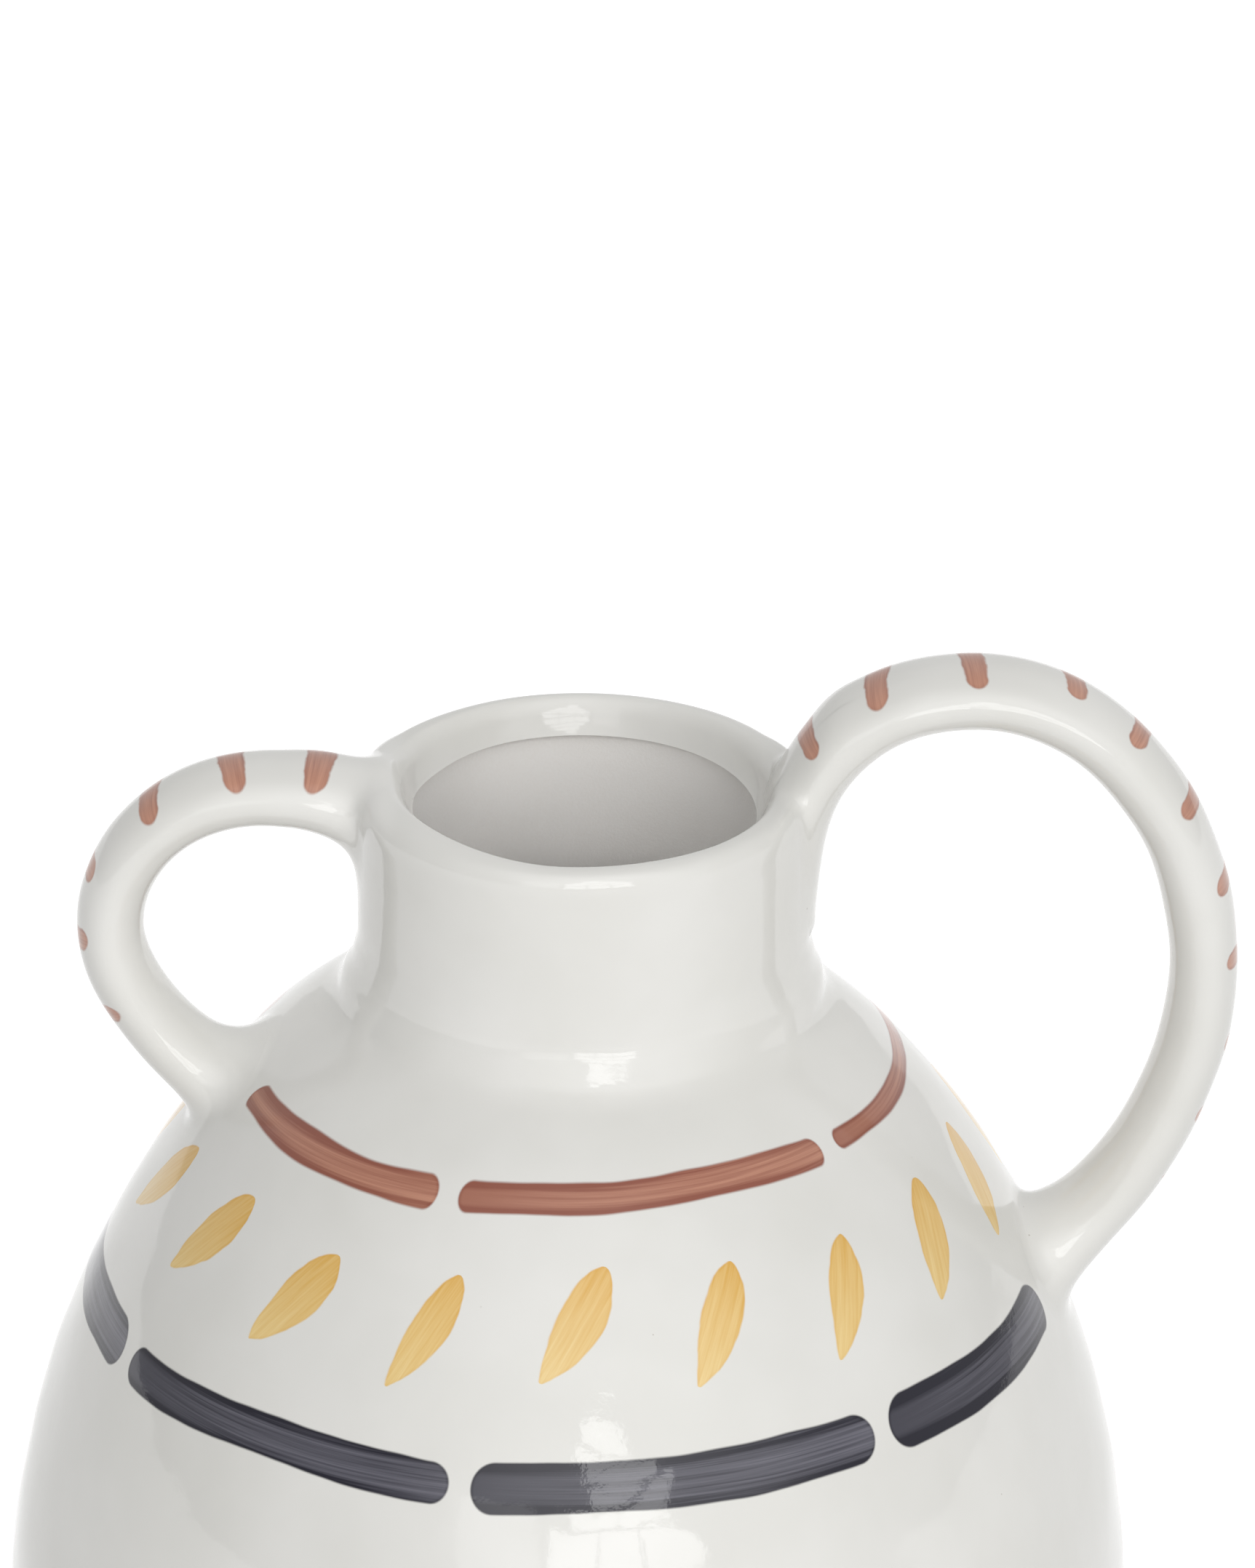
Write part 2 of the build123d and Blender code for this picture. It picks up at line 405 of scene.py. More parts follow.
def add_node(tree, kind, inputs, **settings):
    """A new node with its settings made, and its inputs fed by name or number."""
    node = tree.nodes.new("ShaderNode" + kind)
    for name, value in settings.items():
        setattr(node, name, value)
    for key, value in inputs.items():
        feed(tree, node.inputs[key], value)
    return node


def combine(x, y, z):
    tree = next(value.tree for value in (x, y, z) if isinstance(value, Wire))
    return Wire(tree, add_node(tree, "CombineXYZ", {0: x, 1: y, 2: z}).outputs[0])


def noise(place, scale=1.0, detail=2.0, rough=0.5):
    inputs = {"Vector": place, "Scale": scale, "Detail": detail, "Roughness": rough}
    return Wire(place.tree, add_node(place.tree, "TexNoise", inputs).outputs["Fac"])


def chance(number):
    """One random value for each whole number."""
    node = add_node(number.tree, "TexWhiteNoise", {"W": number}, noise_dimensions="1D")
    return Wire(number.tree, node.outputs["Value"])


def mix(share, first, second):
    """Mix two colours, each a wire or red, green and blue."""
    first, second = (c if isinstance(c, Wire) else (*c, 1) for c in (first, second))
    node = add_node(share.tree, "Mix", {0: share, 6: first, 7: second}, data_type="RGBA")
    return Wire(share.tree, node.outputs[2])


def linear(red, green, blue):
    """A screen colour, 0 to 255, as linear light."""
    shares = [c / 255 for c in (red, green, blue)]
    return [c / 12.92 if c <= 0.04045 else ((c + 0.055) / 1.055) ** 2.4 for c in shares]


# Colours as a screen shows them, and paints as brushed thin and laid on deep
glaze_light = linear(231, 230, 226)
glaze_shade = linear(225, 224, 219)
speck_colour = linear(150, 138, 124)
slip_light = linear(251, 249, 246)
slip_shade = linear(248, 245, 241)
clay_light = linear(220, 207, 189)
clay_shade = linear(205, 190, 170)
grit_colour = linear(150, 128, 106)
worn_colour = linear(168, 152, 134)
navy = (linear(112, 111, 121), linear(35, 34, 45))
ochre = (linear(238, 209, 143), linear(221, 170, 72))
brown = (linear(202, 148, 124), linear(146, 88, 72))
half_tones = (0.3, 0.7)  # noise below is all shade, above all light

# Specks in the glaze, some of the cells with one each
cells_per_mm = 0.11
speck_radius = (0.012, 0.034)
speck_choice = (0.55, 0.95)
speck_strength = 0.6

# Brushwork, in millimetres or as shares of the deep colour
stroke_edge = (-0.25, 0.35)
pool_depth = 1.1  # paint pools along an edge, down to this depth inside it
pool_fall = 0.55
pool_range = (0.0, 0.9)
pool_strength = 0.45
stroke_gap = 5.0  # bare glaze between two strokes of a band
no_paint = 20.0  # taken off where a motif ends
band_sway = 7.0  # height of a band's wandering
band_ragged = 1.6
band_change = 0.3  # share by which its strokes differ in width
band_rim = (0.35, 0.9)  # its edges grow darker here, in half widths
band_rim_strength = 0.5
band_start = 0.72  # wetness at a stroke's start
band_loss = 0.4  # and its loss by the end
band_hairs = 1.8
band_dry = (0.02, 0.4)  # the brush's hairs begin to show along this part of a stroke
leaf_start = 40.5  # where the row of leaves begins, in leaves
leaf_slope = 1.2  # length along the shoulder for its height
leaf_stray = 3.0
leaf_sway = 0.16
leaf_stretch = 0.12
leaf_taper = 0.32
leaf_power = 0.72
leaf_bow = 1.1
leaf_middle = 0.4
leaf_change = 0.25
leaf_ragged = 1.5
leaf_tip = 0.97
leaf_fade = 0.2
leaf_wet = 0.42
leaf_gain = 0.35
leaf_hairs = 1.3
leaf_strength = 0.96
dash_half = 2.5
dash_reach = 8.0  # half a dash's length
dash_extra = 1.5  # up to this much more by chance
dash_stray = 3.0
dash_slant = 0.3
dash_taper = 0.03
dash_ragged = 1.2
dash_wet = 0.4
dash_hairs = 1.2
dash_strength = 0.95
under_side = (0.25, 0.0)  # no dashes on the handle's inner half
under_bare = 9.0

# Bare glaze on either side of the handles' feet, for bands that would run into them
large_bare = 25.0
small_bare = 22.0
far_side = 200.0  # added on the other side of the jar, where no handle is in the way


class Look:
    """A new material, with places on the object in millimetres to paint it by."""

    def __init__(self, name):
        self.material = bpy.data.materials.new(name)
        self.material.use_nodes = True
        self.tree = self.material.node_tree
        self.shader = self.tree.nodes["Principled BSDF"]
        metres = Wire(self.tree, add_node(self.tree, "TexCoord", {}).outputs["Object"])
        scaled = add_node(self.tree, "VectorMath", {0: metres, "Scale": 1 / MM}, operation="SCALE")
        self.place = Wire(self.tree, scaled.outputs[0])
        split = add_node(self.tree, "SeparateXYZ", {0: self.place})
        self.axes = [Wire(self.tree, socket) for socket in split.outputs]

    def set(self, name, value):
        feed(self.tree, self.shader.inputs[name], value)

    def bump(self, height, depth):
        """Let a height, 0 to 1, raise the surface by up to a depth in millimetres."""
        inputs = {"Strength": 1.0, "Distance": depth * MM, "Height": height}
        self.set("Normal", Wire(self.tree, add_node(self.tree, "Bump", inputs).outputs[0]))

    def attribute(self, name):
        node = add_node(self.tree, "Attribute", {}, attribute_name=name)
        return Wire(self.tree, node.outputs["Fac"])


def hypot(a, b):
    return (a * a + b * b).math("SQRT")


def wobble(x, y, z):
    """Unevenness of a stroke's edge, -0.5 to 0.5."""
    return noise(combine(x, y, z)) - 0.5


def hairs(x, y, z):
    """Lines that a brush's hairs leave, -0.5 to 0.5."""
    return noise(combine(x, y, z), detail=3.0, rough=0.6) - 0.5


def stroke(colour, inside, wet, paint, strength=1.0):
    """Lay a brush stroke on a colour. Inside is the depth in mm within the stroke's edge."""
    cover = inside.step(*stroke_edge, strength)
    pooled = ((inside - pool_depth) * -pool_fall).step(*pool_range, pool_strength)
    tone = mix((wet + pooled).math("MINIMUM", 1.0).high(0.0), *paint)
    return mix(cover, colour, tone)


def glaze_ground(place):
    """White glaze with slow drifts of tone and a few dark specks from the clay."""
    drift = noise(place, scale=0.022, detail=3.0)
    colour = mix(drift.step(*half_tones), glaze_shade, glaze_light)
    cells = add_node(place.tree, "TexVoronoi", {"Vector": place, "Scale": cells_per_mm})
    near = Wire(place.tree, cells.outputs["Distance"])
    pick = add_node(place.tree, "SeparateColor", {0: Wire(place.tree, cells.outputs["Color"])})
    some = Wire(place.tree, pick.outputs[0]).step(*speck_choice)
    dot = 1.0 - near.step(*speck_radius)
    return mix(dot * some * speck_strength, colour, speck_colour)


def band(colour, axes, paint, seed, height, half, strokes, blocked=None):
    """A band brushed round the jar in several strokes, each wet at its start and dry at its end.
    Blocked is the distance from where no stroke may go."""
    x, y, z = axes
    sway_scale, edge_scale, hair_scale = 0.012, 0.035, 0.018  # turns of noise in a millimetre
    angle = x.math("ARCTAN2", -y)
    sway = noise(combine(x * sway_scale, y * sway_scale, seed), detail=1.0)
    across = z - height - (sway - 0.5) * band_sway
    ragged = wobble(x * edge_scale, y * edge_scale, z * 0.05 + seed)
    turn = angle * (strokes / (2 * pi)) + seed
    run = turn - turn.floor()
    number = turn.floor().math("FLOORED_MODULO", strokes)
    width = half + (chance(number) - 0.5) * (half * band_change)
    reach = hypot(x, y) * (2 * pi / strokes)
    past = ((run - 0.5).abs() - 0.5) * reach + width + stroke_gap / 2
    if blocked is not None:
        past = past.high(width - blocked)
    inside = width - hypot(across, past.high(0.0)) + ragged * band_ragged
    lines = hairs(x * hair_scale, y * hair_scale, z * 1.5 + number * 3.7)
    edge = (across.abs() / half).step(*band_rim, band_rim_strength)
    wet = run * -band_loss + band_start + edge + lines * band_hairs * run.step(*band_dry)
    return stroke(colour, inside, wet, paint)


def leaves(colour, axes, paint, height, length, half, count, slant):
    """A row of slanting leaf-shaped dabs round the shoulder."""
    x, y, z = axes
    angle = x.math("ARCTAN2", -y)
    turn = angle * (count / (2 * pi)) + leaf_start
    number = turn.floor().math("FLOORED_MODULO", count)
    luck = chance(number)
    luck_two = chance(number + 0.37)
    sideways = (turn - turn.floor() - 0.5) * hypot(x, y) * (2 * pi / count)
    upwards = (z - height) * leaf_slope + (luck - 0.5) * leaf_stray
    lean = (luck_two - 0.5) * leaf_sway + slant
    lean_cos, lean_sin = lean.math("COSINE"), lean.math("SINE")
    along = upwards * lean_cos + sideways * lean_sin
    across = sideways * lean_cos - upwards * lean_sin
    reach = along / (length / 2) + (luck - 0.5) * leaf_stretch
    square = reach * reach
    curve = (reach * leaf_taper + 1.0) * (1.0 - square).high(0.0).math("POWER", leaf_power)
    bowed = across + (square - leaf_middle) * leaf_bow
    ragged = wobble(across * 0.2, along * 0.12, number * 5.1)
    width = curve * half * ((luck_two - 0.5) * leaf_change + 1.0)
    inside = width - bowed.abs() + ragged * leaf_ragged
    inside = inside - (reach.abs() - leaf_tip).step(0.0, leaf_fade, no_paint)
    lines = hairs(across * 1.3, along * 0.05, number * 2.3)
    wet = reach * leaf_gain + leaf_wet + lines * leaf_hairs
    return stroke(colour, inside, wet, paint, leaf_strength)


def finish_glaze(look, colour):
    """Gloss, with a faint grain, an orange peel and slow ripples."""
    look.set("Base Color", colour)
    rough = noise(look.place, scale=0.05, detail=3.0).step(0.25, 0.8, 0.035) + 0.045
    look.set("Roughness", rough)
    look.set("IOR", 1.5)
    grain = noise(look.place, scale=1.3, detail=1.0)
    peel = noise(look.place, scale=0.28, detail=2.0, rough=0.4)
    slow = noise(look.place, scale=0.055, detail=1.0)
    look.bump(grain * 0.03 + peel * 0.12 + slow, depth=0.22)
    return look.material


def body_glaze():
    """Glossy white glaze with painted bands and a row of leaves."""
    look = Look("painted_glaze")
    axes = look.axes
    x, y = axes[:2]
    by_large = y.abs() - large_bare + x.step(0.0, -1.0, far_side)
    by_small = y.abs() - small_bare + x.step(-1.0, 0.0, far_side)
    colour = glaze_ground(look.place)
    colour = leaves(colour, axes, ochre, height=250.0, length=30.0, half=5.0, count=18, slant=0.5)
    colour = band(colour, axes, brown, seed=3.3, height=274.0, half=2.6, strokes=5, blocked=by_small)
    colour = band(colour, axes, navy, seed=5.25, height=221.0, half=5.2, strokes=7, blocked=by_large)
    colour = band(colour, axes, brown, seed=8.1, height=96.0, half=2.8, strokes=5)
    colour = band(colour, axes, navy, seed=9.4, height=78.0, half=5.2, strokes=7)
    return finish_glaze(look, colour)


def handle_glaze(name, first, last, gap):
    """The same glaze with short brown dashes across the handle's back, from the first to the last
    length along it."""
    look = Look(name)
    x, y, z = look.axes
    colour = glaze_ground(look.place)
    along = look.attribute("along")
    back = look.attribute("back")
    turn = (along - first) / gap
    number = turn.floor()
    luck = chance(number + 0.5)
    ragged = wobble(x * 0.2, y * 0.2, z * 0.2)
    slant = y * (chance(number) - 0.5) * dash_slant
    aside = (turn - number - 0.5) * gap + (luck - 0.5) * dash_stray + slant
    sideways = y + (luck - 0.5) * dash_stray
    half = (sideways * dash_taper + dash_half) + ragged * dash_ragged
    past = (sideways.abs() - dash_reach - luck * dash_extra + half).high(0.0)
    inside = half - hypot(aside, past) - back.step(*under_side, under_bare)
    inside = inside - (along - last).step(0.0, 1.0, no_paint)
    inside = inside - (along - first).step(0.0, -1.0, no_paint)
    lines = hairs(aside * 1.6, y * 0.06, number * 3.1)
    wet = sideways * dash_taper + dash_wet + lines * dash_hairs
    return finish_glaze(look, stroke(colour, inside, wet, brown, dash_strength))


def inside_slip():
    """Matt pale slip inside, with a fine grain."""
    look = Look("inside_slip")
    grain = noise(look.place, scale=1.6, detail=4.0, rough=0.65)
    drift = noise(look.place, scale=0.035, detail=2.0)
    tone = grain * 0.6 + drift * 0.4
    look.set("Base Color", mix(tone.step(*half_tones), slip_shade, slip_light))
    look.set("Roughness", grain * 0.2 + 0.62)
    look.bump(grain, depth=0.08)
    return look.material


def bare_clay():
    """Unglazed foot, sandy and a little darker where it has rubbed on the table."""
    look = Look("bare_clay_foot")
    grain = noise(look.place, scale=1.1, detail=5.0, rough=0.7)
    blotch = noise(look.place, scale=0.06, detail=3.0)
    worn = look.axes[2].step(3.0, 0.2)
    colour = mix(blotch.step(*half_tones), clay_shade, clay_light)
    colour = mix(grain.step(0.62, 0.78) * 0.5, colour, grit_colour)
    look.set("Base Color", mix(worn * 0.35, colour, worn_colour))
    look.set("Roughness", grain * 0.15 + 0.75)
    look.bump(grain, depth=0.18)
    return look.material


# Round pieces

def add_object(name, data):
    item = bpy.data.objects.new(name, data)
    bpy.context.scene.collection.objects.link(item)
    return item


def add_mesh(name, points, faces):
    mesh = bpy.data.meshes.new(name)
    mesh.from_pydata((points * MM).tolist(), [], faces)
    mesh.update()
    return add_object(name, mesh)


def ring_faces(bands, rings, segments):
    """Faces between neighbouring rings of points. With as many bands as rings, they close."""
    faces = []
    for row in range(bands):
        low = row * segments
        high = (row + 1) % rings * segments
        for i in range(segments):
            j = (i + 1) % segments
            faces.append((low + i, low + j, high + j, high + i))
    return faces


def finish_mesh(mesh, materials, segments, corners):
    """Smooth shading with sharp edges along some of the rings. Points on the axis become one, and
    every face turns outwards."""
    for material in materials:
        mesh.materials.append(material)
    mesh.shade_smooth()
    ends = np.empty(len(mesh.edges) * 2, np.int32)
    mesh.edges.foreach_get("vertices", ends)
    ring_of = ends.reshape(-1, 2) // segments
    sharp = (ring_of[:, 0] == ring_of[:, 1]) & np.isin(ring_of[:, 0], corners)
    mesh.attributes.new("sharp_edge", "BOOLEAN", "EDGE").data.foreach_set("value", sharp)
    work = bmesh.new()
    work.from_mesh(mesh)
    bmesh.ops.remove_doubles(work, verts=work.verts, dist=same_place)
    bmesh.ops.recalc_face_normals(work, faces=work.faces)
    work.to_mesh(mesh)
    work.free()


def revolve(name, materials, runs, closed=True):
    """Turn an outline about the jar's axis. Each run is a curve with its material's number, and
    its ends are sharp edges."""
    outline = []
    finish = []
    corners = []
    for curve, number in runs:
        corners.append(len(outline))
        outline += list(curve[:-1])
        finish += [number] * (len(curve) - 1)
    if not closed:
        outline.append(runs[-1][0][-1])
    outline = np.array(outline)
    turn = np.arange(ring_segments) * 2 * pi / ring_segments
    radius = outline[:, :1]
    height = np.repeat(outline[:, 1:], ring_segments, axis=1)
    points = np.stack((radius * np.sin(turn), radius * -np.cos(turn), height), axis=2).reshape(-1, 3)
    faces = ring_faces(len(finish), len(outline), ring_segments)
    piece = add_mesh(name, settle(points), faces)
    numbers = np.repeat(finish, ring_segments).astype(np.int32)
    piece.data.polygons.foreach_set("material_index", numbers)
    finish_mesh(piece.data, materials, ring_segments, corners)
    return piece


def line(*points):
    """Straight runs, divided so that long ones follow the unevenness."""
    points = np.array(points, float)
    out = [points[:1]]
    for a, b in zip(points[:-1], points[1:]):
        count = max(int(np.linalg.norm(b - a) / wall_step), 1)
        share = np.linspace(0, 1, count + 1)[1:, None]
        out.append(a + (b - a) * share)
    return np.vstack(out)


def rounded_ring():
    """Section of the foot ring, with its two lower edges rounded."""
    outer_low = np.array((base_radius - foot_taper, 0.0))
    inner_low = np.array((base_radius - foot_width, 0.0))
    inner_high = np.array((base_radius - foot_width - foot_taper, foot_height))

    def towards(a, b):
        return unit(b - a) * foot_round

    first = outer_low + towards(outer_low, base)
    second = outer_low + towards(outer_low, inner_low)
    third = inner_low + towards(inner_low, outer_low)
    fourth = inner_low + towards(inner_low, inner_high)
    around = joined(
        line(base, first), bend(first, outer_low, second, count=arc_points), line(second, third),
        bend(third, inner_low, fourth, count=arc_points), line(fourth, inner_high),
    )
    return [(around, 0), (line(inner_high, base), 0)]


def body_pieces(glaze, slip, clay):
    """The five round pieces, by the solid that each stands for."""
    belly_ridge = belly + np.array((-wall / 2, seam_step))
    belly_inside = belly - np.array((wall, 0))
    floor_edge = np.array((floor_radius, foot_height + floor_thickness))
    lower_inside = inset(lower_outside)[::-1]
    lower_inside = lower_inside[lower_inside[:, 1] > foot_height + floor_thickness + floor_turn]
    downwards = lower_inside[-1] - lower_inside[-2]
    inwards = np.array((-1.0, 0.0))
    lower_inside = joined(lower_inside, sweep(lower_inside[-1], downwards, floor_edge, inwards))
    shoulder_inside = inset(shoulder_outside)[::-1]
    collar_inside = inset(collar_plain)[::-1]
    seam_inside = shoulder_inside[0]
    under_lip = bend(lip_edge, (neck_bore, lip_edge[1]), bore_seat)
    painted = (glaze, slip)
    foot = revolve("foot_turned", (clay,), rounded_ring())
    lower = revolve("body_lower", painted, (
        (line((0, foot_height), base), 0),
        (spaced(lower_outside), 0),
        (line(belly, belly_ridge, belly_inside), 0),
        (spaced(lower_inside), 1),
        (line(floor_edge, (0, foot_height + floor_thickness)), 1),
    ), closed=False)
    upper = revolve("body_shoulder", painted, (
        (spaced(shoulder_outside), 0),
        (line(seam, seam_inside), 0),
        (spaced(shoulder_inside), 1),
        (line(belly_inside, belly_ridge, belly), 0),
    ))
    neck = revolve("neck_thrown", painted, (
        (spaced(joined(collar_outside, line(collar_top, neck_seat)), collar_step), 0),
        (line(neck_seat, bore_seat), 0),
        (spaced(joined(line(bore_seat, collar_inside[0]), collar_inside), bore_step), 1),
        (line(seam_inside, seam), 0),
    ))
    rim = revolve("rim_lip", painted, (
        (spaced(lip_outside, lip_step), 0),
        (spaced(under_lip, under_step), 1),
        (line(bore_seat, neck_seat), 0),
    ))
    return {"foot_ring": foot, "lower_body": lower, "shoulder": upper, "neck": neck, "rim": rim}


# Handles, each melted into the body with a soft fillet
body_outline = joined(
    shoulder_outside[::4], collar_outside[::4], line(collar_top, neck_seat),
    lip_outside[1::2], np.array((lip_outside[-1], (0, lip_edge[1]))),
)
melt_wide = 5.2  # reach of the fillet on the neck and the shoulder
melt_lip = 6.5  # reach of the fillet on the lip
melt_edge = 0.12  # share of it that is left at the lip's inner edge
melt_below = 4.0  # one goes over into the other from this far below the lip's seat
melt_above = 6.0  # to this far above it
melt_depth = 0.03  # the handles' surface lies this deep in the melted form
melt_rounds = 7
melt_move = 4.0  # longest move of a point in one round
melt_slope = 0.05
least_slope = 1e-9
skirt_evening = 3  # rounds in which neighbouring directions are evened out
skirt_push = 1.1
skirt_most = 40.0
skirt_stride = (0.02, 3.0)
drop_rounds = 2  # in which a point drops on to the body
even_share = 0.72  # a handle's rings are spaced evenly in part
bunch_share = 0.28  # and in part closer at its ends and its middle
cap_depth = 4.0  # its end caps reach this far into the body


def body_field(points):
    """Distance of points outside the body, its direction, and the nearest place on the outline."""
    flat = np.stack((np.hypot(points[:, 0], points[:, 1]), points[:, 2]), axis=1)
    start = body_outline[:-1]
    run = np.diff(body_outline, axis=0)
    size = (run**2).sum(1)
    share = np.clip(((flat[:, None] - start) * run).sum(2) / size, 0, 1)
    gap = flat[:, None] - start - share[..., None] * run
    best = (gap**2).sum(2).argmin(1)
    row = np.arange(len(flat))
    out = np.stack((run[:, 1], -run[:, 0]), axis=1) / np.sqrt(size)[:, None]
    corner = unit(np.vstack((out[:1], out[:-1] + out[1:], out[-1:])))
    part = share[row, best][:, None]
    facing = unit(corner[best] * (1 - part) + corner[best + 1] * part)
    miss = gap[row, best]
    distance = np.sqrt((miss**2).sum(1)) * np.sign((miss * facing).sum(1))
    safe = np.maximum(flat[:, 0], tiny)
    direction = np.stack(
        (facing[:, 0] * points[:, 0] / safe, facing[:, 0] * points[:, 1] / safe, facing[:, 1]), axis=1
    )
    return distance, direction, start[best] + part * run[best]


class Tube:
    """An oval handle along its middle line, thicker at both roots."""

    def __init__(self, plan):
        top = rim_height + plan["rise"]
        apex = neck_radius + plan["apex"]
        reach = neck_radius + plan["reach"]
        root = (neck_radius - plan["root_inset"], rim_height - plan["root_drop"])
        outermost = (reach, rim_height - plan["reach_drop"])
        foot_level = rim_height - plan["foot_drop"]
        out = np.interp(foot_level, shoulder_outside[:, 1], shoulder_outside[:, 0])
        foot = np.array((out, foot_level))
        corner = np.array((reach, foot_level + plan["foot_corner"]))
        end = foot + unit(foot - corner) * plan["sink"]
        middle = joined(
            bend(root, (root[0] + plan["root_lean"], top), (apex, top), root_roundness, middle_points),
            bend((apex, top), (reach, top), outermost, count=middle_points),
            bend(outermost, corner, end, count=middle_points),
        )
        self.plan = plan
        self.length = lengths(middle)[-1]
        self.marks = np.linspace(0, self.length, middle_marks)
        self.path = at_lengths(middle, self.marks)
        self.along = unit(np.gradient(self.path, axis=0))
        self.out = np.stack((-self.along[:, 1], self.along[:, 0]), axis=1)
        self.surface = self.length - plan["sink"]

    def frame_at(self, mark):
        """Middle, outward direction and half sizes of the oval at a length along the handle."""
        def read(table):
            return np.stack([np.interp(mark, self.marks, c) for c in table.T], axis=-1)

        under = self.plan["root_spread"] * np.exp(-mark / root_fade)
        above = np.maximum(self.surface - mark, -foot_depth)
        around = self.plan["foot_spread"] * np.exp(-above / foot_fade)
        around = around + self.plan["root_swell"] * np.exp(-mark / swell_fade)
        out = unit(read(self.out))
        centre = read(self.path) - out * (under / 2)[..., None]
        half_width = (self.plan["width"] + under + around) / 2
        half_thick = (self.plan["thickness"] + under + around) / 2
        return centre, out, half_width, half_thick

    def surface_at(self, mark, turn):
        """Points on the oval, kept out of the mouth."""
        centre, out, half_width, half_thick = self.frame_at(mark)
        flat = centre + out * (half_thick * np.sin(turn))[..., None]
        across = half_width * np.cos(turn)
        radius = np.maximum(np.hypot(flat[..., 0], across), tiny)
        push = np.maximum(root_ring / radius, 1)
        sideways = self.plan["side"] * flat[..., 0] * push
        return np.stack((sideways, across * push, flat[..., 1]), axis=-1)

    def field(self, points):
        """Distance of points outside the handle, and its direction."""
        flat = np.stack((self.plan["side"] * points[:, 0], points[:, 2]), axis=1)
        near = ((flat[:, None] - self.path) ** 2).sum(2).argmin(1)
        mark = self.marks[near] + ((flat - self.path[near]) * self.along[near]).sum(1)
        behind = -mark
        mark = np.clip(mark, 0, self.length)
        centre, out, half_width, half_thick = self.frame_at(mark)
        up = ((flat - centre) * out).sum(1)
        across = points[:, 1]
        size = np.sqrt((across / half_width) ** 2 + (up / half_thick) ** 2)
        lean_y = across / half_width**2
        lean_up = up / half_thick**2
        slope = np.maximum(np.hypot(lean_y, lean_up), least_slope)
        distance = np.maximum(size * (size - 1) / slope, behind)
        direction = np.stack(
            (self.plan["side"] * out[:, 0] * lean_up, lean_y, out[:, 1] * lean_up), axis=1
        ) / slope[:, None]
        radius = np.maximum(np.hypot(points[:, 0], points[:, 1]), tiny)
        inward = np.stack((-points[:, 0] / radius, -points[:, 1] / radius, 0 * radius), axis=1)
        clear = root_ring - radius
        share = np.maximum(clear_reach - np.abs(distance - clear), 0) / clear_reach
        weight = np.where(distance > clear, 1 - share**2 / 2, share**2 / 2)[:, None]
        distance = np.maximum(distance, clear) + share**3 * clear_reach / 6
        return distance, direction * weight + inward * (1 - weight)


def melt(tube, points):
    """Distance outside the body and the handle melted together, its direction, and what is left of
    the melting."""
    body, body_way, place = body_field(points)
    arm, arm_way = tube.field(points)
    on_lip = smooth(place[:, 1], seat_height - melt_below, seat_height + melt_above)
    reach = melt_wide + (melt_lip - melt_wide) * on_lip
    reach = reach * (melt_edge + (1 - melt_edge) * smooth(place[:, 0], lip_face[0], lip_crest[0]))
    share = np.maximum(reach - np.abs(body - arm), 0) / reach
    distance = np.minimum(body, arm) - share**3 * reach / 6
    weight = np.where(body > arm, share**2 / 2, 1 - share**2 / 2)[:, None]
    return distance, body_way * weight + arm_way * (1 - weight), reach - (arm - body)


def settle_on_melt(tube, points):
    """Move points to the surface of the body and the handle melted together."""
    for _ in range(melt_rounds):
        distance, way, _ = melt(tube, points)
        steep = np.maximum((way**2).sum(1), melt_slope)
        move = np.clip(distance + melt_depth, -melt_move, melt_move)
        points = points - way * (move / steep)[:, None]
    return points


def landing(tube, turn, marks):
    """Length along the handle at which each of its lines first meets the body."""
    grid = tube.surface_at(*np.broadcast_arrays(marks[:, None], turn))
    distance = body_field(grid.reshape(-1, 3))[0].reshape(len(marks), len(turn))
    first = (distance < 0).argmax(0)
    column = np.arange(len(turn))
    a = distance[first - 1, column]
    b = distance[first, column]
    share = a / (a - b)
    return marks[first - 1] + (marks[first] - marks[first - 1]) * share


def skirt(tube, ring):
    """Rings on the body's surface that run outwards from where a handle lands on it."""
    step = np.roll(ring, -1, axis=0) - np.roll(ring, 1, axis=0)
    normal = body_field(ring)[1]
    heading = unit(np.cross(normal, step))
    if (heading * (ring - ring.mean(0))).sum() < 0:
        heading = -heading
    for _ in range(skirt_evening):
        beside = np.roll(heading, 1, axis=0) + np.roll(heading, -1, axis=0)
        heading = unit(heading + beside / 2)
    rings = []
    place = ring
    for i in range(skirt_rings):
        left = np.clip(melt(tube, place)[2], 0, skirt_most)
        stride = np.clip(skirt_push * left / (skirt_rings - i), *skirt_stride)
        place = place + heading * stride[:, None]
        for _ in range(drop_rounds):
            distance, normal, _ = body_field(place)
            place = place - normal * distance[:, None]
        heading = unit(heading - normal * (heading * normal).sum(1)[:, None])
        rings.append(place)
    return rings


